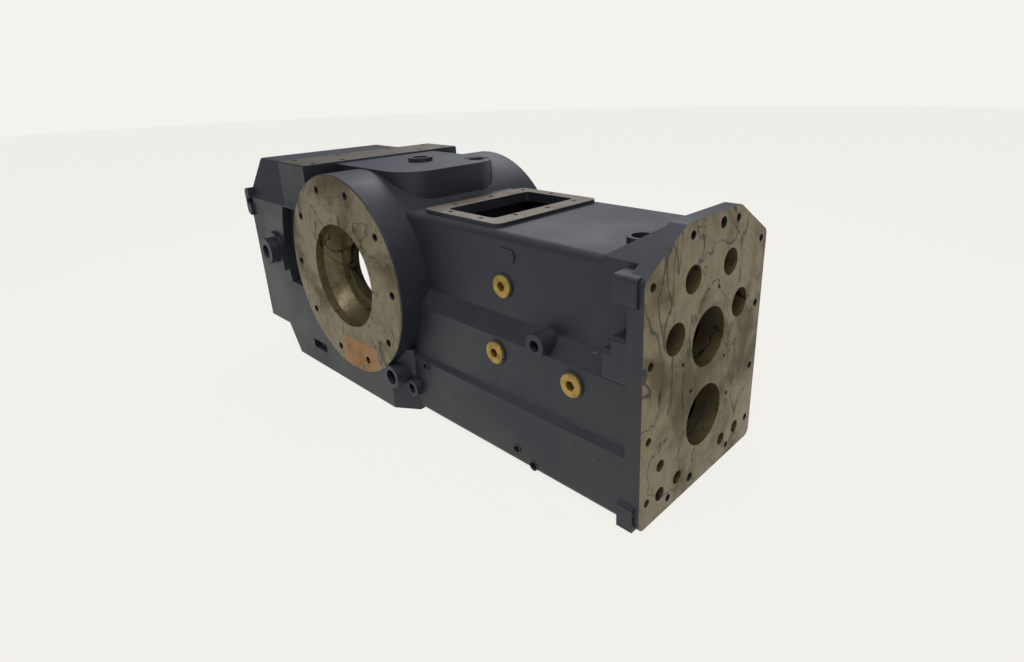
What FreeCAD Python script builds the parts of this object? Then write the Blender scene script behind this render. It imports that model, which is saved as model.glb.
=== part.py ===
"""Gearbox housing of a tractor's rear transmission: one hollow iron casting with its screw plugs.

Frame: the origin is where the axle's axis crosses the main shaft's axis, +X runs along the main
shaft to the front face, +Y along the axle and +Z up.  Lengths are in millimetres.
"""
import FreeCAD, Part
import Sketcher
import math
import os
import re

# Driving dimensions.  Reaches, halves and heights are measured from the origin.
SIZES = {
    # front plate
    "front_reach": 636, "plate_thick": 24, "plate_half": 154, "plate_top": 169,
    "plate_shoulder": 117, "plate_crown_half": 68, "plate_corner_round": 12,
    "axle_height": 228,
    # gear case behind the plate
    "case_half": 127, "case_top": 129, "case_wall": 11, "case_floor": 222,
    "case_top_round": 13, "belt_top": 3, "belt_foot": 24, "waist_half": 147,
    "ledge_top": 114, "ledge_foot": 121, "skirt_half": 154, "case_edge_round": 5,
    "case_floor_round": 10, "front_wall": 36,
    # axle case
    "body_half": 180, "body_wall": 12, "rear_reach": 371, "shoulder_height": 103,
    "bevel_half": 142, "rear_top": 181, "sump_reach": 250, "sump_lip_reach": 285,
    "tail_floor": 168, "saddle_rear": 207, "saddle_front": 104, "saddle_half": 177,
    "saddle_top": 190, "body_front": 116, "flare_front": 158, "flare_top": 110,
    # axle flanges and bearing hubs
    "axle_face": 184, "drum_radius": 184, "drum_wall": 16, "flange_thick": 19,
    "register_radius": 96, "register_depth": 15, "relief_radius": 99, "web_face": 135,
    "web_thick": 20, "web_seat_radius": 86, "hub_radius": 112, "carrier_bore_radius": 60,
    "carrier_bolt_circle": 75, "carrier_bolt_radius": 3.4, "carrier_bolt_count": 8,
    "carrier_bolt_depth": 14, "axle_bolt_circle": 160, "axle_bolt_radius": 7,
    "axle_bolt_count": 10, "axle_bolt_depth": 16, "groove_radius": 237, "groove_depth": 16,
    "groove_foot": 60, "groove_top": 101,
    # pad on top of the axle case
    "pad_half": 112, "pad_front": 124, "pad_top": 186, "pad_corner_round": 58,
    # cover seat on top of the gear case
    "seat_rear": 170, "seat_front": 352, "seat_half": 115, "seat_rise": 6,
    "seat_corner_round": 14, "hatch_rear": 206, "hatch_front": 318, "hatch_half": 91,
    "hatch_corner_round": 8, "seat_bolt_radius": 4.2, "seat_bolt_depth": 12,
    # shaft bores in the front face
    "main_bore_radius": 42.5, "lower_bore_radius": 46, "lower_bore_drop": 120,
    "bore_lip": 4, "bore_seat_depth": 22,
    "rail_bore_radius": 19, "rail_bore_side": 48, "rail_bore_height": 94,
    "side_bore_radius": 22, "side_bore_side": 83.5, "side_bore_height": 25,
    # tapped holes round the front face
    "plate_bolt_radius": 5.8, "plate_bolt_side": 137, "plate_bolt_depth": 28,
    "plate_row_top": 108, "plate_row_upper": 8, "plate_row_lower": 96, "plate_row_foot": 189,
    # bulkhead between the gear case and the axle case
    "bulkhead_rear": 150, "bulkhead_thick": 20, "bulkhead_boss_radius": 66,
    "bulkhead_boss_length": 16, "bulkhead_bore_radius": 45,
    # rear opening
    "tail_wall": 12, "tail_pocket_half": 120, "tail_pocket_top": 60, "tail_hatch_half": 84,
    "tail_hatch_top": 5, "tail_hatch_foot": 160, "tail_hatch_round": 20,
    # roof between the gear case and the plate's crown
    "hood_rear": 556, "hood_height": 165,
    # further features of the -Y side and the top
    "arch_face": 187, "arch_radius": 38, "arch_foot": 36, "hub_inner": 115,
    "disc_pad_x": 381, "disc_pad_z": 96, "disc_pad_reach": 17, "disc_pad_round": 11,
    "disc_pad_rise": 2, "ring_x": 5, "ring_y": 5, "ring_radius": 23, "ring_bore": 15,
    "ring_rise": 7, "filler_x": 76, "filler_y": 84, "filler_spot_radius": 24, "filler_bore": 16,
    "case_ring_x": 565, "case_ring_y": -57, "case_ring_radius": 21, "case_ring_bore": 15,
    "case_ring_rise": 12, "saddle_bolt_radius": 5.5, "saddle_bolt_depth": 14,
    "ear_reach": 379, "ear_half": 186, "ear_thick": 26, "ear_low": 65, "ear_high": 123,
    "ear_hole_reach": 366, "ear_hole_z": 95, "ear_bore": 7.5,
    "foot_pocket_rear": 176, "foot_pocket_front": 122, "foot_pocket_low": 193,
    "foot_pocket_high": 174, "foot_pocket_depth": 10,
    # screw plugs
    "plug_seat_radius": 20, "plug_seat_rise": 1.5, "plug_collar_radius": 17.5,
    "plug_collar_thick": 4, "plug_shank_radius": 12.9, "plug_shank_length": 13,
    "plug_clearance": 0.1, "plug_hex_flats": 14, "plug_hex_depth": 10,
}

# Round bosses with a blind tapped hole, on the -Y side: x and z of the axis, y of the face,
# radius, length, radius and depth of the hole.
BOSSES = {
    "belt_boss": (464, 161, -8, 17, 34, 8.5, 26),
    "flare_boss": (157, 166, -180, 16, 30, 9, 22),
    "ledge_boss": (190, 156, -130, 10, 20, 5.5, 16),
    "corner_boss": (130, 188, -158, 21, 40, 13.5, 34),
    "trunnion_boss": (-279, 203, 2, 27, 40, 14, 30),
    "skirt_hole_front": (446, 155, -212, 8, 10, 6, 14),
    "skirt_hole_rear": (411, 155, -198, 8, 10, 5.5, 14),
}

# Further holes in the front face: y, z, radius and depth.
FACE_HOLES = {
    "crown_left": (-54, 152, 5.8, 28), "crown_middle": (21, 153, 8, 28),
    "crown_right": (62, 152, 5.8, 28), "foot_a": (-108, -147, 8.5, 28),
    "foot_b": (-107, -192, 10, 28), "foot_c": (-64, -190, 10, 28), "foot_d": (58, -190, 10, 28),
    "foot_e": (101, -189, 10, 28), "foot_f": (-86, -211, 5.5, 20), "foot_g": (-30, -209, 7, 20),
    "foot_h": (77, -210, 5.2, 20), "gallery_a": (20, 66, 3.2, 20), "gallery_b": (-63, -18, 3.2, 20),
    "gallery_c": (49, -47, 3.2, 20), "gallery_d": (-39, -66, 3.2, 20),
    "gallery_e": (65, -114, 3.5, 20),
}

# Lugs behind the plate: rear and front reach, half width, low and high level, and corner radius.
LUGS = {
    "middle_lug": (572, 614, 150, -24, 18, 6),
    "small_lug": (586, 614, 150, 10, 38, 6),
    "upper_lug": (594, 628, 158, 84, 122, 6),
    "lower_lug": (603, 628, 158, -228, -190, 6),
}

# Tapped holes of the cover seat and of the saddle: x and y.
SEAT_BOLTS = {
    "seat_bolt_a": (326, -54), "seat_bolt_b": (330, 14), "seat_bolt_c": (328, 81),
    "seat_bolt_d": (253, 104), "seat_bolt_e": (186, 99), "seat_bolt_f": (226, -101),
    "seat_bolt_g": (300, -101), "seat_bolt_h": (186, -60), "seat_bolt_i": (186, 20),
}
SADDLE_BOLTS = {
    "saddle_bolt_a": (-118, -150), "saddle_bolt_b": (-118, -90), "saddle_bolt_c": (-118, 90),
    "saddle_bolt_d": (-118, 150), "saddle_bolt_e": (-192, -150), "saddle_bolt_f": (-192, -60),
    "saddle_bolt_g": (-192, 60), "saddle_bolt_h": (-192, 150),
}

# Screw plugs of the -Y wall: x and z of the axis, and the wall that each is screwed into.
PLUGS = {
    "plug_upper": (371, 49, "case_half"),
    "plug_rear": (370, -50, "waist_half"),
    "plug_front": (520, -52, "waist_half"),
}

doc = FreeCAD.newDocument("gearbox_housing")


def make_sheet(name, values):
    """A spreadsheet with one aliased cell for each value."""
    sheet = doc.addObject("Spreadsheet::Sheet", name)
    for row, (alias, number) in enumerate(values.items(), start=1):
        sheet.set("A%d" % row, alias)
        sheet.set("B%d" % row, str(number))
        sheet.setAlias("B%d" % row, alias)
    return sheet


def spread(table, columns):
    """A table's rows as single named values."""
    return {"%s_%s" % (name, column): number
            for name, row in table.items() for column, number in zip(columns, row)
            if not isinstance(number, str)}


VALUES = dict(SIZES)
VALUES.update(spread(BOSSES, ("x", "face", "z", "radius", "length", "bore", "depth")))
VALUES.update(spread(FACE_HOLES, ("y", "z", "bore", "depth")))
VALUES.update(spread(PLUGS, ("x", "z")))
VALUES.update(spread(LUGS, ("rear", "front", "half", "low", "high", "round")))
VALUES.update(spread(SEAT_BOLTS, ("x", "y")))
VALUES.update(spread(SADDLE_BOLTS, ("x", "y")))
make_sheet("sizes", VALUES)
doc.recompute()

X_AXIS = FreeCAD.Vector(1, 0, 0)
Y_AXIS = FreeCAD.Vector(0, 1, 0)
Z_AXIS = FreeCAD.Vector(0, 0, 1)
AIM = {
    "+x": FreeCAD.Rotation(Y_AXIS, 90), "-x": FreeCAD.Rotation(Y_AXIS, -90),
    "+y": FreeCAD.Rotation(X_AXIS, -90), "-y": FreeCAD.Rotation(X_AXIS, 90),
    "+z": FreeCAD.Rotation(), "-z": FreeCAD.Rotation(X_AXIS, 180),
}
# sketch planes by their extrusion direction: local x and y become y and z, x and z, or x and y
PLANE = {"+x": FreeCAD.Rotation(FreeCAD.Vector(1, 1, 1), 120), "-y": AIM["-y"], "+z": AIM["+z"]}
WORD = re.compile(r"\b(%s)\b" % "|".join(sorted(VALUES, key=len, reverse=True)))


def bind(thing, path, text):
    """Set a property by an expression in the sheet's own names."""
    thing.setExpression(path, WORD.sub(r"sizes.\1", str(text)))


def place(thing, at, rotation):
    thing.Placement = FreeCAD.Placement(FreeCAD.Vector(), rotation)
    for letter, text in zip("xyz", at):
        bind(thing, "Placement.Base." + letter, text)
    return thing


def block(name, x, y, z):
    """A box between two expressions on each axis."""
    box = doc.addObject("Part::Box", name)
    for path, (low, high) in zip(("Length", "Width", "Height"), (x, y, z)):
        bind(box, path, "(%s) - (%s)" % (high, low))
    return place(box, (x[0], y[0], z[0]), AIM["+z"])


def rod(name, at, aim, radius, length):
    """A cylinder that starts at a point and runs along an axis."""
    cylinder = doc.addObject("Part::Cylinder", name)
    bind(cylinder, "Radius", radius)
    bind(cylinder, "Height", length)
    return place(cylinder, at, AIM[aim])


def taper(name, at, aim, radius_start, radius_end, length):
    cone = doc.addObject("Part::Cone", name)
    bind(cone, "Radius1", radius_start)
    bind(cone, "Radius2", radius_end)
    bind(cone, "Height", length)
    return place(cone, at, AIM[aim])


def prism(name, aim, at, corners, length):
    """A closed outline of straight sides, each corner held by the sheet, extruded along an axis."""
    sketch = doc.addObject("Sketcher::SketchObject", name + "_outline")
    count = len(corners)
    start = [FreeCAD.Vector(100 * math.cos(2 * math.pi * i / count),
                            100 * math.sin(2 * math.pi * i / count), 0) for i in range(count)]
    for i in range(count):
        sketch.addGeometry(Part.LineSegment(start[i], start[(i + 1) % count]))
    for i in range(count):
        sketch.addConstraint(Sketcher.Constraint("Coincident", i, 2, (i + 1) % count, 1))
    for i, corner in enumerate(corners):
        for kind, text, now in zip(("DistanceX", "DistanceY"), corner, start[i]):
            index = sketch.addConstraint(Sketcher.Constraint(kind, -1, 1, i, 1, now or 1.0))
            bind(sketch, "Constraints[%d]" % index, text)
    place(sketch, at, PLANE[aim])
    solid = doc.addObject("Part::Extrusion", name)
    solid.Base = sketch
    solid.DirMode = "Custom"
    solid.Dir = PLANE[aim].multVec(Z_AXIS)
    solid.Solid = True
    bind(solid, "LengthFwd", length)
    return solid


def join(name, pieces):
    """Fuse pieces one after another, which holds up better here than fusing them all at once."""
    result = pieces[0]
    for count, piece in enumerate(pieces[1:], start=2):
        fuse = doc.addObject("Part::Fuse", name if count == len(pieces) else "%s_%d" % (name, count))
        fuse.Base = result
        fuse.Tool = piece
        result = fuse
    result.Refine = True
    return result


def cut(name, base, tools):
    """The base with a group of tools taken out."""
    group = tools[0]
    if len(tools) > 1:
        group = doc.addObject("Part::MultiFuse", name + "_tools")
        group.Shapes = tools
    result = doc.addObject("Part::Cut", name)
    result.Base = base
    result.Tool = group
    return result


def rounded(name, base, choices):
    """Fillet the base's edges: each choice is a radius and a test of an edge."""
    doc.recompute()
    fillet = doc.addObject("Part::Fillet", name)
    fillet.Base = base
    fillet.Edges = [(index, radius, radius)
                    for radius, wanted in choices
                    for index, edge in enumerate(base.Shape.Edges, start=1) if wanted(edge)]
    return fillet


def runs_along(edge, axis):
    return (edge.Curve.TypeId == "Part::GeomLine"
            and abs(edge.tangentAt(edge.FirstParameter).dot(axis)) > 0.999)



def at_height(edge, alias):
    """Whether an edge lies in the level plane of a named height, such as -case_floor."""
    level = -VALUES[alias[1:]] if alias.startswith("-") else VALUES[alias]
    return abs(edge.BoundBox.ZMin - level) < 0.01 and abs(edge.BoundBox.ZMax - level) < 0.01


def mirrored(corners):
    """An outline that is the same on both sides of the centre plane, from its +Y half."""
    return corners + [("-(%s)" % across, up) for across, up in reversed(corners)]


# ---------------------------------------------------------------- outside of the casting
plate_back = "front_reach - plate_thick"

plate = rounded("plate", prism(
    "plate_blank", "+x", (plate_back, 0, 0),
    mirrored([("plate_half", "-axle_height"), ("plate_half", "plate_shoulder"),
              ("plate_crown_half", "plate_top")]), "plate_thick"),
    [(VALUES["plate_corner_round"], lambda e: runs_along(e, X_AXIS))])

case_corners = [("case_half", "case_top"), ("case_half", "belt_top"),
                ("waist_half", "-belt_foot"), ("waist_half", "-ledge_top"),
                ("skirt_half", "-ledge_foot"), ("skirt_half", "-case_floor")]
case_start = "body_front - body_wall"
case = rounded("case", prism(
    "case_blank", "+x", (case_start, 0, 0), mirrored(case_corners),
    "%s - (%s)" % (plate_back, case_start)),
    [(VALUES["case_top_round"], lambda e: runs_along(e, X_AXIS) and at_height(e, "case_top")),
     (VALUES["case_floor_round"], lambda e: runs_along(e, X_AXIS) and at_height(e, "-case_floor")),
     (VALUES["case_edge_round"], lambda e: runs_along(e, X_AXIS) and not at_height(e, "case_top")
      and not at_height(e, "-case_floor"))])

body = prism("axle_case", "-y", (0, "body_half", 0), [
    ("-rear_reach", "-tail_floor"), ("-sump_lip_reach", "-tail_floor"),
    ("-sump_reach", "-axle_height"), ("body_front", "-axle_height"),
    ("body_front", "shoulder_height"), ("-rear_reach", "shoulder_height")], "2 * body_half")
flare = prism("flare", "+z", (0, 0, "-axle_height"), [
    ("0", "-body_half"), ("body_front", "-body_half"), ("flare_front", "-skirt_half"),
    ("flare_front", "skirt_half"), ("body_front", "body_half"), ("0", "body_half")],
    "axle_height - flare_top")
rear_cap = rounded("rear_cap", prism("rear_cap_blank", "+x", ("-rear_reach", 0, 0), mirrored([
    ("body_half", "shoulder_height - 1"), ("bevel_half", "rear_top")]),
    "rear_reach - saddle_rear + 2"),
    [(6, lambda e: runs_along(e, X_AXIS) and at_height(e, "rear_top"))])
saddle = rounded("saddle", block(
    "saddle_blank", ("-saddle_rear", "-saddle_front"), ("-saddle_half", "saddle_half"),
    ("shoulder_height - 2", "saddle_top")),
    [(3, lambda e: at_height(e, "saddle_top"))])
saddle_foot = prism("saddle_foot", "+x", ("-saddle_rear", 0, 0), mirrored([
    ("body_half", "shoulder_height - 1"), ("saddle_half", "shoulder_height + 14")]),
    "saddle_rear - saddle_front")
drum = rounded("drum", rod("drum_blank", (0, "axle_face", 0), "-y", "drum_radius",
                           "2 * axle_face"),
               [(2, lambda e: e.Curve.TypeId == "Part::GeomCircle")])
pad = rounded("pad", block("pad_blank", ("-saddle_front - 2", "pad_front"),
                           ("-pad_half", "pad_half"), ("0", "pad_top")),
              [(VALUES["pad_corner_round"],
                lambda e: runs_along(e, Z_AXIS) and e.BoundBox.XMin > 0)])
seat = rounded("cover_seat", block(
    "cover_seat_blank", ("seat_rear", "seat_front"), ("-seat_half", "seat_half"),
    ("case_top - 3", "case_top + seat_rise")),
    [(VALUES["seat_corner_round"], lambda e: runs_along(e, Z_AXIS))])

# bosses and ribs that tie the plate to the gear case
hood_slope = prism("hood_slope", "-y", (0, "case_half", 0), [
    ("hood_rear", "case_top - 20"), (plate_back, "case_top - 20"),
    (plate_back, "hood_height"), ("hood_rear", "case_top")], "2 * case_half")
hood_outline = prism("hood_outline", "+x", ("hood_rear", 0, 0), mirrored([
    ("case_half", "case_top - 20"), ("case_half", "plate_shoulder + 12"),
    ("plate_crown_half", "plate_top - 4")]), "%s - hood_rear" % plate_back)
hood = doc.addObject("Part::Common", "hood")
hood.Base = hood_slope
hood.Tool = hood_outline
lugs = []
for name, (rear, front, half, low, high, round_) in LUGS.items():
    lug = block(name + "_blank", (name + "_rear", name + "_front"),
                ("-%s_half" % name, name + "_half"), (name + "_low", name + "_high"))
    lugs.append(rounded(name, lug, [(round_, lambda e: runs_along(e, X_AXIS)
                                     and e.BoundBox.ZMin > -VALUES["axle_height"] + 1)]))

# the -Y side's own bosses, and those on top
bosses = [rod(name, (name + "_x", "-(%s_face)" % name, name + "_z"), "+y", name + "_radius",
              name + "_length") for name in BOSSES]
trunnion_arch = rod("trunnion_arch", ("trunnion_boss_x", "-arch_face", "trunnion_boss_z"), "+y",
                    "arch_radius", "arch_face - body_half + 4")
trunnion_leg = block("trunnion_leg", ("trunnion_boss_x - arch_radius",
                                      "trunnion_boss_x + arch_radius"),
                     ("-arch_face", "4 - body_half"), ("-arch_foot", "trunnion_boss_z"))
disc_pad = rounded("disc_pad", block(
    "disc_pad_blank", ("disc_pad_x - disc_pad_reach", "disc_pad_x + disc_pad_reach"),
    ("-case_half - disc_pad_rise", "4 - case_half"),
    ("disc_pad_z - disc_pad_round - 0.1", "disc_pad_z + disc_pad_round + 0.1")),
    [(VALUES["disc_pad_round"], lambda e: runs_along(e, Y_AXIS))])
ring_boss = rod("ring_boss", ("ring_x", "ring_y", "pad_top - 3"), "+z", "ring_radius",
                "ring_rise + 3")
case_ring = rod("case_ring", ("case_ring_x", "case_ring_y", "case_top - 3"), "+z",
                "case_ring_radius", "case_ring_rise + 3")
plug_seats = [rod(name + "_seat", (name + "_x", "-%s - plug_seat_rise" % wall, name + "_z"),
                  "+y", "plug_seat_radius", "plug_seat_rise + 6")
              for name, (_, _, wall) in PLUGS.items()]
ears = []
for side in ("near", "far"):
    at = "ear_half" if side == "far" else "-(ear_half - ear_thick)"
    ears.append(rounded("%s_ear" % side, block(
        "%s_ear_blank" % side, ("-ear_reach", "10 - rear_reach"),
        ("%s - ear_thick" % at, at), ("ear_low", "ear_high")),
        [(12, lambda e: runs_along(e, Y_AXIS) and e.BoundBox.XMin < -VALUES["rear_reach"])]))

outside = join("outside", [plate, case, body, flare, rear_cap, saddle, saddle_foot, drum, pad,
                           seat, hood, trunnion_arch, trunnion_leg, disc_pad, ring_boss,
                           case_ring] + lugs + bosses + plug_seats + ears)

# ---------------------------------------------------------------- hollows
inner_half = "(body_half - groove_depth - body_wall)"
gear_room = prism("gear_room", "+x", ("bulkhead_rear + bulkhead_thick", 0, 0), mirrored([
    ("case_half - case_wall", "case_top - case_wall"), ("case_half - case_wall", "belt_top"),
    ("waist_half - case_wall", "-belt_foot"), ("waist_half - case_wall", "-ledge_top"),
    ("skirt_half - case_wall", "-ledge_foot"), ("skirt_half - case_wall", "case_wall - case_floor")
]), "front_reach - front_wall - bulkhead_rear - bulkhead_thick")
axle_room = prism("axle_room", "-y", (0, inner_half, 0), [
    ("tail_wall - sump_lip_reach", "-tail_hatch_foot"), ("7 - sump_reach", "14 - axle_height"),
    ("90", "14 - axle_height"), ("90", "shoulder_height - 8"),
    ("tail_wall - sump_lip_reach", "shoulder_height - 8")], "2 * " + inner_half)
top_room = block("top_room", ("body_wall - rear_reach", "100"),
                 ("body_wall - pad_half", "pad_half - body_wall"), ("75", "pad_top - 16"))
throat = block("throat", ("80", "bulkhead_rear"),
               ("-case_half + case_wall", "case_half - case_wall"),
               ("12 - case_floor", "case_top - case_wall"))
hatch = rounded("hatch", block("hatch_blank", ("hatch_rear", "hatch_front"),
                               ("-hatch_half", "hatch_half"), ("case_top - 40", "case_top + 20")),
                [(VALUES["hatch_corner_round"], lambda e: runs_along(e, Z_AXIS))])
tail_pocket = block("tail_pocket", ("-rear_reach - 5", "-sump_lip_reach"),
                    ("-tail_pocket_half", "tail_pocket_half"),
                    ("-tail_floor - 5", "tail_pocket_top"))
tail_hatch = rounded("tail_hatch", block(
    "tail_hatch_blank", ("-sump_lip_reach - 5", "tail_wall - sump_lip_reach + 5"),
    ("-tail_hatch_half", "tail_hatch_half"), ("-tail_hatch_foot", "tail_hatch_top")),
    [(VALUES["tail_hatch_round"], lambda e: runs_along(e, X_AXIS))])
cheeks = [block("%s_cheek" % side, ("body_wall - rear_reach", "tail_wall - sump_lip_reach + 2"),
                ends, ("body_wall - tail_floor", "shoulder_height - 8"))
          for side, ends in (("near", ("body_wall - body_half", "-tail_pocket_half - body_wall")),
                             ("far", ("tail_pocket_half + body_wall", "body_half - body_wall")))]
hollow = cut("hollow", outside, [gear_room, axle_room, top_room, throat, hatch, tail_pocket,
                                 tail_hatch] + cheeks)

# the groove behind each flange, on its rear side only
groove_cuts = []
for side, at in (("near", "-(body_half - groove_depth)"), ("far", "body_half + 10")):
    ring = doc.addObject("Part::Cut", side + "_groove_ring")
    ring.Base = rod(side + "_groove_disc", (0, at, 0), "-y", "groove_radius", "groove_depth + 10")
    ring.Tool = rod(side + "_groove_core", (0, at + " + 1", 0), "-y", "drum_radius",
                    "groove_depth + 12")
    groove = doc.addObject("Part::Common", side + "_groove")
    groove.Base = ring
    groove.Tool = block(side + "_groove_zone", ("-groove_radius - 5", "-100"),
                        (at + " - groove_depth - 12", at + " + 2"), ("-groove_foot", "groove_top"))
    groove_cuts.append(groove)
hollow = cut("grooved", hollow, groove_cuts)

# ---------------------------------------------------------------- hubs and bulkhead
hubs = [rod("near_hub", (0, "-hub_inner", 0), "-y", "hub_radius", "axle_face - 20 - hub_inner"),
        rod("far_hub", (0, "hub_inner", 0), "+y", "hub_radius", "axle_face - 20 - hub_inner")]
bulkhead_boss = rod("bulkhead_boss", ("bulkhead_rear + 2", 0, 0), "+x", "bulkhead_boss_radius",
                    "bulkhead_thick + bulkhead_boss_length - 2")
solid = join("solid", [hollow, bulkhead_boss] + hubs)

# ---------------------------------------------------------------- bores and holes
holes = []
for side, sign, inward in (("near", "-", "+y"), ("far", "", "-y")):
    face = sign + "axle_face"
    step = "+" if sign == "-" else "-"
    holes += [
        rod(side + "_register", (0, "%s1 * (axle_face + 1)" % sign, 0), inward,
            "register_radius", "register_depth + 1"),
        taper(side + "_relief", (0, "%s1 * (axle_face - register_depth)" % sign, 0), inward,
              "relief_radius", "web_seat_radius + 1",
              "axle_face - register_depth - web_face - 2"),
        rod(side + "_web_seat", (0, "%s1 * (web_face + 3)" % sign, 0), inward,
            "web_seat_radius", "3"),
        rod(side + "_carrier_bore", (0, "%s1 * (axle_face + 1)" % sign, 0), inward,
            "carrier_bore_radius", "axle_face + 1 - hub_inner + 5")]
    for i in range(SIZES["carrier_bolt_count"]):
        turn = "(%d * 360 / carrier_bolt_count + 22.5) * 1 deg" % i
        holes.append(rod("%s_carrier_hole_%d" % (side, i + 1),
                         ("carrier_bolt_circle * cos(%s)" % turn, "%s1 * (web_face + 1)" % sign,
                          "carrier_bolt_circle * sin(%s)" % turn), inward,
                         "carrier_bolt_radius", "carrier_bolt_depth + 1"))
    for i in range(SIZES["axle_bolt_count"]):
        turn = "(%d * 360 / axle_bolt_count) * 1 deg" % i
        holes.append(rod("%s_axle_hole_%d" % (side, i + 1),
                         ("axle_bolt_circle * cos(%s)" % turn, "%s1 * (axle_face + 1)" % sign,
                          "axle_bolt_circle * sin(%s)" % turn), inward,
                         "axle_bolt_radius", "axle_bolt_depth + 1"))

front = "front_reach + 1"
holes += [
    rod("main_bore", (front, 0, 0), "-x", "main_bore_radius", "bore_seat_depth + 1"),
    rod("main_bore_lip", (front, 0, 0), "-x", "main_bore_radius - bore_lip", "front_wall + 5"),
    rod("lower_bore", (front, 0, "-lower_bore_drop"), "-x", "lower_bore_radius",
        "bore_seat_depth + 1"),
    rod("lower_bore_lip", (front, 0, "-lower_bore_drop"), "-x", "lower_bore_radius - bore_lip",
        "front_wall + 5"),
    rod("bulkhead_bore", ("bulkhead_rear - 5", 0, 0), "+x", "bulkhead_bore_radius",
        "bulkhead_thick + bulkhead_boss_length + 10")]
for side, sign in (("left", "-"), ("right", "")):
    holes += [
        rod(side + "_rail_bore", (front, sign + "rail_bore_side", "rail_bore_height"), "-x",
            "rail_bore_radius", "front_wall + 5"),
        rod(side + "_side_bore", (front, sign + "side_bore_side", "side_bore_height"), "-x",
            "side_bore_radius", "front_wall + 5")]
    for row, height in (("top", "plate_row_top"), ("upper", "plate_row_upper"),
                        ("lower", "-plate_row_lower"), ("foot", "-plate_row_foot")):
        holes.append(rod("%s_%s_bolt" % (side, row), (front, sign + "plate_bolt_side", height),
                         "-x", "plate_bolt_radius", "plate_bolt_depth + 1"))
for name in FACE_HOLES:
    holes.append(rod(name + "_hole", (front, name + "_y", name + "_z"), "-x", name + "_bore",
                     name + "_depth + 1"))
for name in BOSSES:
    holes.append(rod(name + "_hole", (name + "_x", "-%s_face - 1" % name, name + "_z"), "+y",
                     name + "_bore", name + "_depth + 1"))
for name, (_, _, wall) in PLUGS.items():
    holes.append(rod(name + "_hole", (name + "_x", "-%s - plug_seat_rise - 1" % wall,
                                      name + "_z"), "+y",
                     "plug_shank_radius + plug_clearance", "plug_seat_rise + case_wall + 6"))
for name, (x, y) in SEAT_BOLTS.items():
    holes.append(rod(name + "_hole", (name + "_x", name + "_y", "case_top + seat_rise + 1"), "-z",
                     "seat_bolt_radius", "seat_bolt_depth + 1"))
for name, (x, y) in SADDLE_BOLTS.items():
    holes.append(rod(name + "_hole", (name + "_x", name + "_y", "saddle_top + 1"), "-z",
                     "saddle_bolt_radius", "saddle_bolt_depth + 1"))
holes += [
    rod("ring_hole", ("ring_x", "ring_y", "pad_top + ring_rise + 1"), "-z", "ring_bore", "40"),
    rod("filler_spot", ("filler_x", "filler_y", "pad_top - 1"), "+z", "filler_spot_radius", "5"),
    rod("filler_hole", ("filler_x", "filler_y", "pad_top + 1"), "-z", "filler_bore", "30"),
    rod("case_ring_hole", ("case_ring_x", "case_ring_y", "case_top + case_ring_rise + 1"), "-z",
        "case_ring_bore", "30")]
for side, sign, inward in (("near", "-", "+y"), ("far", "", "-y")):
    holes.append(rod(side + "_ear_hole", ("-ear_hole_reach", "%s1 * (ear_half + 1)" % sign,
                                          "ear_hole_z"), inward,
                     "ear_bore", "ear_thick + 2"))
holes.append(block("foot_pocket", ("-foot_pocket_rear", "-foot_pocket_front"),
                   ("-body_half - 5", "foot_pocket_depth - body_half"),
                   ("-foot_pocket_low", "-foot_pocket_high")))
housing = cut("housing_casting", solid, holes)

# ---------------------------------------------------------------- screw plugs
plugs = []
for name, (_, _, wall) in PLUGS.items():
    seat_at = "-%s - plug_seat_rise" % wall
    collar = rod(name + "_collar_blank", (name + "_x", seat_at, name + "_z"), "-y",
                 "plug_collar_radius", "plug_collar_thick")
    doc.recompute()
    rim = collar.Shape.BoundBox.YMin
    collar = rounded(name + "_collar", collar, [
        (1.2, lambda e: e.Curve.TypeId == "Part::GeomCircle" and e.BoundBox.YMax < rim + 1)])
    shank = rod(name + "_shank", (name + "_x", seat_at + " - 1", name + "_z"), "+y",
                "plug_shank_radius", "plug_shank_length + 1")
    socket = doc.addObject("Part::RegularPolygon", name + "_hexagon")
    socket.Polygon = 6
    bind(socket, "Circumradius", "plug_hex_flats / 2 / cos(30 * 1 deg)")
    place(socket, (name + "_x", seat_at + " - plug_collar_thick - 1", name + "_z"), AIM["+y"])
    drive = doc.addObject("Part::Extrusion", name + "_socket")
    drive.Base = socket
    drive.DirMode = "Custom"
    drive.Dir = Y_AXIS
    drive.Solid = True
    bind(drive, "LengthFwd", "plug_hex_depth + 1")
    plugs.append((name, cut(name, join(name + "_blank", [collar, shank]), [drive])))

doc.recompute()

# ---------------------------------------------------------------- sub-parts
PIECES = [("housing", housing, "Housing casting")]
PIECES += [(name, plug, name.replace("_", " ").capitalize()) for name, plug in plugs]
for thing in doc.Objects:
    wrong = [state for state in thing.State if state in ("Invalid", "Error")]
    if wrong:
        print([o.Name for o in doc.Objects if "Invalid" in o.State or "Error" in o.State])
        raise RuntimeError("%s: %s" % (thing.Name, ", ".join(thing.State)))
os.makedirs("parts", exist_ok=True)
for node, thing, label in PIECES:
    shape = thing.Shape
    if shape.isNull() or not shape.isValid() or len(shape.Solids) != 1:
        raise RuntimeError("%s is not one valid solid" % node)
    thing.Label = label
    shape.exportStep("parts/%s.step" % node)
    print(node, len(shape.Faces), "faces, volume", round(shape.Volume / 1000), "cm3",
          shape.BoundBox)
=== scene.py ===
"""The looks of a tractor's gearbox housing, laid out as a Blender add-on and run as a script."""
import math

import bmesh
import bpy
from mathutils import Matrix, Vector


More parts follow.
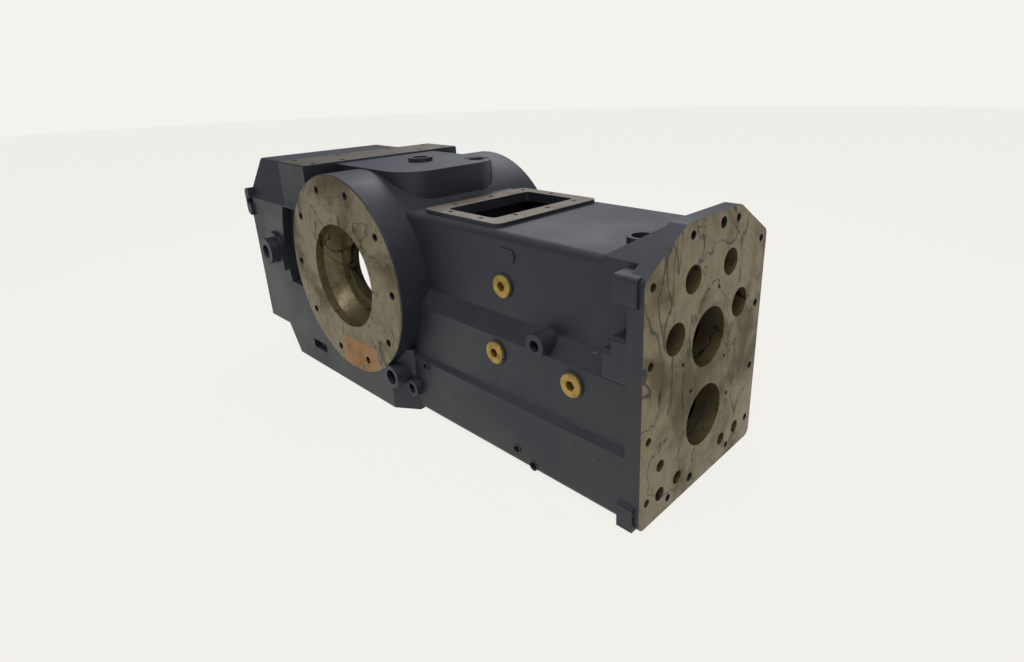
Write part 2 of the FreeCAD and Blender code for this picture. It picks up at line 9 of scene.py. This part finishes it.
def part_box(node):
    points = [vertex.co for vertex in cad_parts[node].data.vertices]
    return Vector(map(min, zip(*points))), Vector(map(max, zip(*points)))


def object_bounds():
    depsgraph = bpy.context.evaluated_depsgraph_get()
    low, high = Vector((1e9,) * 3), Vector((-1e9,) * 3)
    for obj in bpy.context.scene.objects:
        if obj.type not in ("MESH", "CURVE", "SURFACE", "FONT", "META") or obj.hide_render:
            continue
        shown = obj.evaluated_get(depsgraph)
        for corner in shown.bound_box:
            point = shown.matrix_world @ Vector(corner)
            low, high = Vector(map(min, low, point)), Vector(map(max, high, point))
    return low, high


bl_info = {
    "name": "Gearbox housing finish",
    "version": (1, 0, 0),
    "blender": (4, 5, 0),
    "location": "View3D > Sidebar > Housing",
    "description": "Paint, machined faces, plating and stage for a cast gearbox housing",
    "category": "Object",
}

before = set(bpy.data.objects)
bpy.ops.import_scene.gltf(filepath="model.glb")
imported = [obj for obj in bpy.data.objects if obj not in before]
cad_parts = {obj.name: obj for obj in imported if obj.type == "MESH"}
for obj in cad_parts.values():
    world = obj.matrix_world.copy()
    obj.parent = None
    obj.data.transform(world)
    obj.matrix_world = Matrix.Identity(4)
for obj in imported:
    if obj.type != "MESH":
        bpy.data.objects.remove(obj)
cad_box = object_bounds()

MM = 0.001
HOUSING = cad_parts["housing"]
PLUGS = {name: node for name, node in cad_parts.items() if name.startswith("plug")}
PLATE_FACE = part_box("housing")[1].x
AXLE_FACE = 184 * MM
FLANGE_RADIUS = 183.2 * MM
REGISTER_RADIUS = 99.6 * MM
BORE_START = 114 * MM
SEAT_TOP = 135 * MM
SEAT_CENTRE = 261 * MM
SEAT_REACH = 92 * MM
SADDLE_TOP = 190 * MM
SHARP = 0.9
FLOOR_RADIUS = 9
CAMERA_TURNS = (43.06, 19.935, -1.499)


# ------------------------------------------------------------------ settings
class HousingFinish(bpy.types.PropertyGroup):
    paint: bpy.props.FloatVectorProperty(
        name="Paint", description="Colour of the paint on the rough casting",
        subtype="COLOR", size=3, min=0, max=1, default=(0.0125, 0.0145, 0.021))
    # painted reflection: bluish colour laid on paint that faces up, standing in for the sky's
    # sheen in the gloss
    sky_sheen: bpy.props.FloatVectorProperty(
        name="Film", description="Dull oily film that lies on level paint",
        subtype="COLOR", size=3, min=0, max=1, default=(0.035, 0.037, 0.046))
    bare: bpy.props.FloatVectorProperty(
        name="Bare metal", description="Colour of the machined faces under their oil",
        subtype="COLOR", size=3, min=0, max=1, default=(0.20, 0.165, 0.085))
    stain: bpy.props.FloatVectorProperty(
        name="Stain", description="Colour of dried oil on the machined faces",
        subtype="COLOR", size=3, min=0, max=1, default=(0.075, 0.048, 0.016))
    rust: bpy.props.FloatVectorProperty(
        name="Rust", description="Colour of the light rust",
        subtype="COLOR", size=3, min=0, max=1, default=(0.27, 0.10, 0.028))
    grain: bpy.props.FloatProperty(
        name="Grain", description="Height of the cast skin's grain",
        subtype="DISTANCE", min=0, max=0.002, default=0.0006)


class PlugFinish(bpy.types.PropertyGroup):
    plating: bpy.props.FloatVectorProperty(
        name="Plating", description="Colour of the yellow plating on the screw plugs",
        subtype="COLOR", size=3, min=0, max=1, default=(0.42, 0.29, 0.075))


class StageSettings(bpy.types.PropertyGroup):
    backdrop: bpy.props.FloatVectorProperty(
        name="Backdrop", description="Colour of the floor and of what is behind it",
        subtype="COLOR", size=3, min=0, max=1, default=(0.905, 0.89, 0.85))
    key: bpy.props.FloatProperty(
        name="Key light", description="Power of the large lamp over the front",
        subtype="POWER", unit="POWER", min=0, default=32)


# ------------------------------------------------------------------ material helpers
class Weave:
    """Adds nodes to one material, wires them and keeps them in columns."""

    def __init__(self, name):
        self.material = bpy.data.materials.new(name)
        self.material.use_nodes = True
        self.tree = self.material.node_tree
        self.shader = self.tree.nodes["Principled BSDF"]
        self.count = 0
        self.place = self.add("ShaderNodeTexCoord").outputs["Object"]

    def add(self, kind, settings=None, **inputs):
        node = self.tree.nodes.new(kind)
        self.count += 1
        node.location = (-260 * (1 + self.count // 6), 600 - 240 * (self.count % 6))
        for key, value in (settings or {}).items():
            setattr(node, key, value)
        for key, value in inputs.items():
            self.feed(node.inputs[key.replace("_", " ")], value)
        return node

    def feed(self, socket, value):
        if isinstance(value, bpy.types.NodeSocket):
            self.tree.links.new(value, socket)
        elif socket.type == "RGBA":
            socket.default_value = (*value, 1)
        else:
            socket.default_value = value

    def number(self, operation, first, second=0.0, third=None, clamp=False):
        node = self.add("ShaderNodeMath", {"operation": operation, "use_clamp": clamp})
        for socket, value in zip(node.inputs, (first, second, third)):
            if value is not None:
                self.feed(socket, value)
        return node.outputs[0]

    def parts(self, vector):
        return self.add("ShaderNodeSeparateXYZ", Vector=vector).outputs

    def ramp(self, value, low, high, smooth=True):
        """0 below low and 1 above high, or the other way round where low is the larger."""
        node = self.add("ShaderNodeMapRange", {
            "interpolation_type": "SMOOTHSTEP" if smooth else "LINEAR", "clamp": True})
        for key, number in (("Value", value), ("From Min", low), ("From Max", high)):
            self.feed(node.inputs[key], number)
        return node.outputs["Result"]

    def noise(self, scale, detail=3.0, roughness=0.55, stretch=None, distortion=0.0):
        place = self.place
        if stretch:
            place = self.add("ShaderNodeMapping", Vector=place, Scale=stretch).outputs[0]
        node = self.add("ShaderNodeTexNoise", Vector=place, Scale=scale, Detail=detail,
                        Roughness=roughness, Distortion=distortion)
        return node.outputs["Fac"]

    def mix(self, factor, first, second):
        node = self.add("ShaderNodeMix", {"data_type": "RGBA"})
        for key, value in (("Factor_Float", factor), ("A_Color", first), ("B_Color", second)):
            self.feed(next(s for s in node.inputs if s.identifier == key), value)
        return next(s for s in node.outputs if s.identifier == "Result_Color")

    def blend(self, factor, first, second):
        node = self.add("ShaderNodeMix", {"data_type": "FLOAT"})
        for key, value in (("Factor_Float", factor), ("A_Float", first), ("B_Float", second)):
            self.feed(next(s for s in node.inputs if s.identifier == key), value)
        return next(s for s in node.outputs if s.identifier == "Result_Float")

    def both(self, *factors):
        result = factors[0]
        for factor in factors[1:]:
            result = self.number("MULTIPLY", result, factor)
        return result

    def either(self, *factors):
        result = factors[0]
        for factor in factors[1:]:
            result = self.number("MAXIMUM", result, factor)
        return result

    def near(self, value, level, reach):
        """1 where a value is within reach of a level."""
        gap = self.number("ABSOLUTE", self.number("SUBTRACT", value, level))
        return self.number("LESS_THAN", gap, reach)

    def ring(self, across, along, centre, radius):
        """1 within a radius of a centre."""
        a = self.number("SUBTRACT", across, centre[0])
        b = self.number("SUBTRACT", along, centre[1])
        square = self.number("ADD", self.number("MULTIPLY", a, a), self.number("MULTIPLY", b, b))
        return self.number("LESS_THAN", square, radius * radius)


# ------------------------------------------------------------------ materials
def casting_material(finish):
    """Painted iron with machined faces told from rough ones by where they lie."""
    w = Weave("casting")
    x, y, z = w.parts(w.place)
    side = w.number("ABSOLUTE", y)
    normal = w.add("ShaderNodeNewGeometry").outputs["True Normal"]
    nx, ny, nz = w.parts(normal)
    facing_side = w.number("GREATER_THAN", w.number("ABSOLUTE", ny), SHARP)
    facing_front = w.number("GREATER_THAN", nx, SHARP)
    facing_up = w.number("GREATER_THAN", nz, SHARP)

    front_face = w.both(w.number("GREATER_THAN", x, PLATE_FACE - 0.4 * MM), facing_front)
    in_drum = w.ring(x, z, (0, 0), FLANGE_RADIUS)
    flange_face = w.both(w.near(side, AXLE_FACE, 0.4 * MM), facing_side, in_drum)
    in_bore = w.both(w.ring(x, z, (0, 0), REGISTER_RADIUS),
                     w.number("GREATER_THAN", side, BORE_START))
    front_bores = w.both(w.number("GREATER_THAN", x, PLATE_FACE - 37 * MM),
                         w.number("LESS_THAN", x, PLATE_FACE - 0.3 * MM),
                         w.number("LESS_THAN", side, 140 * MM),
                         w.number("LESS_THAN", w.number("ABSOLUTE", nx), 0.5),
                         w.number("LESS_THAN", z, 114 * MM),
                         w.number("GREATER_THAN", z, -200 * MM))
    seat_face = w.both(w.near(z, SEAT_TOP, 0.5 * MM), facing_up,
                       w.near(x, SEAT_CENTRE, SEAT_REACH))
    saddle_face = w.both(w.near(z, SADDLE_TOP, 0.5 * MM), facing_up)
    tops = w.either(seat_face, saddle_face)
    bare = w.either(front_face, flange_face, in_bore, front_bores)

    # machined metal under dried oil: veins, runs and blots
    blots = w.ramp(w.noise(9, 5, 0.62, distortion=0.6), 0.42, 0.66)
    fine = w.noise(70, 4, 0.6)
    waves = w.noise(7.5, 3, 0.55, (1, 1, 0.55), 1.4)
    veins = w.ramp(w.number("ABSOLUTE", w.number("SUBTRACT", waves, 0.5)), 0.012, 0.002)
    oiled = w.mix(w.number("MULTIPLY", blots, 0.75), finish.bare, finish.stain)
    oiled = w.mix(w.number("MULTIPLY", w.ramp(fine, 0.35, 0.75), 0.35), oiled,
                  tuple(0.45 * c for c in finish.stain))
    oiled = w.mix(w.number("MULTIPLY", veins, 0.85), oiled, (0.012, 0.009, 0.006))
    pale = w.ramp(w.noise(4, 4, 0.6), 0.5, 0.72)
    top_metal = w.mix(pale, (0.17, 0.135, 0.085), (0.30, 0.275, 0.22))
    top_metal = w.mix(w.number("MULTIPLY", blots, 0.6), top_metal, (0.06, 0.042, 0.024))

    # paint: nearly black on the sides, with a painted sky reflection, a pale bluish sheen, on
    # whatever faces up
    mottle = w.ramp(w.noise(5.5, 6, 0.6), 0.35, 0.7)
    # painted sky reflection: paint turns lighter and bluer the more a face points up
    sky_sheen_mask = w.ramp(nz, 0.25, 0.95)
    paint = w.mix(w.number("MULTIPLY", mottle, 0.5), finish.paint,
                  tuple(1.7 * c for c in finish.paint))
    paint = w.mix(w.both(sky_sheen_mask, w.blend(mottle, 0.45, 1.0)), paint, finish.sky_sheen)
    specks = w.ramp(w.noise(95, 2, 0.5), 0.735, 0.76)
    paint = w.mix(w.number("MULTIPLY", specks, 0.5), paint, (0.16, 0.16, 0.15))
    rust = w.both(w.ramp(w.noise(14, 6, 0.7), 0.62, 0.74),
                  w.either(w.number("LESS_THAN", z, -205 * MM), w.near(x, 0.0, 90 * MM)))
    paint = w.mix(w.number("MULTIPLY", rust, 0.35), paint, finish.rust)

    colour = w.mix(bare, paint, oiled)
    colour = w.mix(tops, colour, top_metal)
    tongue = w.both(flange_face, w.number("LESS_THAN", z, -122 * MM), w.near(x, 22 * MM, 62 * MM))
    orange = w.ramp(w.noise(24, 5, 0.65), 0.35, 0.7)
    colour = w.mix(w.number("MULTIPLY", tongue, w.blend(orange, 0.35, 0.9)), colour,
                   (0.36, 0.155, 0.028))
    w.feed(w.shader.inputs["Base Color"], colour)
    w.feed(w.shader.inputs["Metallic"], w.blend(w.either(bare, tops), 0.0, 0.55))
    paint_gloss = w.blend(mottle, 0.42, 0.6)
    w.feed(w.shader.inputs["Roughness"],
           w.blend(w.either(bare, tops), paint_gloss, w.blend(blots, 0.38, 0.6)))

    # grain of the cast skin, left off the machined faces
    grain = w.noise(420, 3, 0.6)
    lumps = w.noise(38, 3, 0.5)
    height = w.number("ADD", w.number("MULTIPLY", grain, 0.35), w.number("MULTIPLY", lumps, 0.65))
    height = w.number("MULTIPLY", height, w.blend(w.either(bare, tops), 1.0, 0.06))
    bump = w.add("ShaderNodeBump", Strength=0.55, Distance=finish.grain, Height=height)
    w.feed(w.shader.inputs["Normal"], bump.outputs[0])
    return w.material


def plug_material(finish):
    w = Weave("plug_plating")
    dull = w.ramp(w.noise(60, 5, 0.6), 0.35, 0.7)
    colour = w.mix(w.number("MULTIPLY", dull, 0.6), finish.plating, (0.14, 0.085, 0.022))
    w.feed(w.shader.inputs["Base Color"], colour)
    w.shader.inputs["Metallic"].default_value = 0.7
    w.feed(w.shader.inputs["Roughness"], w.blend(dull, 0.35, 0.6))
    return w.material


def set_material(node, material):
    for slot in node.material_slots:
        slot.material = material


# ------------------------------------------------------------------ operators
class HOUSING_OT_casting(bpy.types.Operator):
    """Finish the casting"""
    bl_idname = "housing.casting"
    bl_label = "Casting"

    def execute(self, context):
        set_material(HOUSING, casting_material(context.scene.housing_finish))
        return {"FINISHED"}


class HOUSING_OT_plugs(bpy.types.Operator):
    """Finish the screw plugs"""
    bl_idname = "housing.plugs"
    bl_label = "Screw plugs"

    def execute(self, context):
        material = plug_material(context.scene.plug_finish)
        for node in PLUGS.values():
            set_material(node, material)
        return {"FINISHED"}


def add_lamp(name, power, size, place, target, colour=(1, 1, 1)):
    data = bpy.data.lights.new(name, "AREA")
    data.energy = power
    data.size = size
    data.color = colour
    lamp = bpy.data.objects.new(name, data)
    bpy.context.scene.collection.objects.link(lamp)
    lamp.location = place
    lamp.rotation_euler = (Vector(target) - Vector(place)).to_track_quat("-Z", "Y").to_euler()
    return lamp


class HOUSING_OT_stage(bpy.types.Operator):
    """Build the floor, the lamps, the world and the camera"""
    bl_idname = "housing.stage"
    bl_label = "Stage"

    def execute(self, context):
        settings = context.scene.stage_settings
        scene = context.scene
        self.make_floor(settings)
        self.make_world(scene, settings)
        add_lamp("key", settings.key, 1.6, (0.9, -1.1, 2.3), (0.15, 0, 0), (1, 0.99, 0.97))
        add_lamp("fill", settings.key * 0.22, 1.8, (2.4, -0.6, 0.9), (0.5, 0, 0))
        add_lamp("back", settings.key * 0.55, 1.5, (-0.9, 1.3, 1.7), (-0.1, 0, 0.1),
                 (0.93, 0.96, 1))
        self.make_camera(scene)
        scene.view_settings.view_transform = "Standard"
        return {"FINISHED"}

    def backdrop_shader(self, material, colour):
        """White to the camera and to reflections, but still darkened by the object's shadow."""
        tree = material.node_tree
        shader = tree.nodes["Principled BSDF"]
        shader.inputs["Base Color"].default_value = (*colour, 1)
        shader.inputs["Roughness"].default_value = 0.9
        shader.inputs["Specular IOR Level"].default_value = 0.0
        glow = tree.nodes.new("ShaderNodeEmission")
        glow.inputs["Color"].default_value = (*colour, 1)
        rays = tree.nodes.new("ShaderNodeLightPath")
        seen = tree.nodes.new("ShaderNodeMath")
        seen.operation = "MAXIMUM"
        tree.links.new(rays.outputs["Is Camera Ray"], seen.inputs[0])
        tree.links.new(rays.outputs["Is Glossy Ray"], seen.inputs[1])
        mixer = tree.nodes.new("ShaderNodeMixShader")
        share = tree.nodes.new("ShaderNodeMath")
        share.operation = "MULTIPLY"
        share.inputs[1].default_value = 0.93
        tree.links.new(seen.outputs[0], share.inputs[0])
        tree.links.new(share.outputs[0], mixer.inputs[0])
        tree.links.new(shader.outputs[0], mixer.inputs[1])
        tree.links.new(glow.outputs[0], mixer.inputs[2])
        tree.links.new(mixer.outputs[0], tree.nodes["Material Output"].inputs["Surface"])

    def make_floor(self, settings):
        low = cad_box[0].z - 0.6 * MM
        mesh = bpy.data.meshes.new("floor")
        shape = bmesh.new()
        bmesh.ops.create_circle(shape, cap_ends=True, segments=96, radius=FLOOR_RADIUS)
        bmesh.ops.translate(shape, verts=shape.verts, vec=(0.1, 0, low))
        shape.to_mesh(mesh)
        shape.free()
        floor = bpy.data.objects.new("floor", mesh)
        bpy.context.scene.collection.objects.link(floor)
        material = bpy.data.materials.new("floor")
        material.use_nodes = True
        self.backdrop_shader(material, tuple(settings.backdrop))
        mesh.materials.append(material)

    def make_world(self, scene, settings):
        world = bpy.data.worlds.new("studio")
        scene.world = world
        world.use_nodes = True
        tree = world.node_tree
        background = tree.nodes["Background"]
        background.inputs["Color"].default_value = (0.82, 0.88, 1.0, 1)
        background.inputs["Strength"].default_value = 0.32
        seen = tree.nodes.new("ShaderNodeBackground")
        seen.inputs["Color"].default_value = (*settings.backdrop, 1)
        rays = tree.nodes.new("ShaderNodeLightPath")
        mixer = tree.nodes.new("ShaderNodeMixShader")
        tree.links.new(rays.outputs["Is Camera Ray"], mixer.inputs[0])
        tree.links.new(background.outputs[0], mixer.inputs[1])
        tree.links.new(seen.outputs[0], mixer.inputs[2])
        tree.links.new(mixer.outputs[0], tree.nodes["World Output"].inputs["Surface"])

    def make_camera(self, scene):
        """A short lens close to the front corner, turned a little about its own axis."""
        data = bpy.data.cameras.new("camera")
        camera = bpy.data.objects.new("camera", data)
        scene.collection.objects.link(camera)
        azimuth, elevation, roll = (math.radians(d) for d in CAMERA_TURNS)
        look = Vector((-math.sin(azimuth) * math.cos(elevation),
                       math.cos(azimuth) * math.cos(elevation), -math.sin(elevation)))
        right = look.cross(Vector((0, 0, 1))).normalized()
        up = right.cross(look)
        across = right * math.cos(roll) + up * math.sin(roll)
        upward = up * math.cos(roll) - right * math.sin(roll)
        turn = Matrix((across, upward, -look)).transposed()
        camera.rotation_euler = turn.to_euler()
        camera.location = (0.9935, -0.6780, 0.34015)
        data.sensor_width = 36
        data.lens = 21.197
        data.shift_x = -0.0444
        data.shift_y = -0.0399
        data.clip_start = 0.05
        data.clip_end = 60
        scene.camera = camera


class HOUSING_PT_panel(bpy.types.Panel):
    """Buttons and settings of the housing"""
    bl_label = "Gearbox housing"
    bl_idname = "HOUSING_PT_panel"
    bl_space_type = "VIEW_3D"
    bl_region_type = "UI"
    bl_category = "Housing"

    def draw(self, context):
        for group in ("housing_finish", "plug_finish", "stage_settings"):
            settings = getattr(context.scene, group)
            for key in settings.__annotations__:
                self.layout.prop(settings, key)
        for operator in OPERATORS:
            self.layout.operator(operator.bl_idname)


OPERATORS = (HOUSING_OT_casting, HOUSING_OT_plugs, HOUSING_OT_stage)
GROUPS = {"housing_finish": HousingFinish, "plug_finish": PlugFinish,
          "stage_settings": StageSettings}
CLASSES = (*GROUPS.values(), *OPERATORS, HOUSING_PT_panel)


def register():
    for each in CLASSES:
        bpy.utils.register_class(each)
    for name, group in GROUPS.items():
        setattr(bpy.types.Scene, name, bpy.props.PointerProperty(type=group))


def unregister():
    for name in GROUPS:
        delattr(bpy.types.Scene, name)
    for each in reversed(CLASSES):
        bpy.utils.unregister_class(each)


def main():
    register()
    for operator in OPERATORS:
        getattr(bpy.ops.housing, operator.bl_idname.split(".")[1])()


if __name__ == "__main__":
    main()
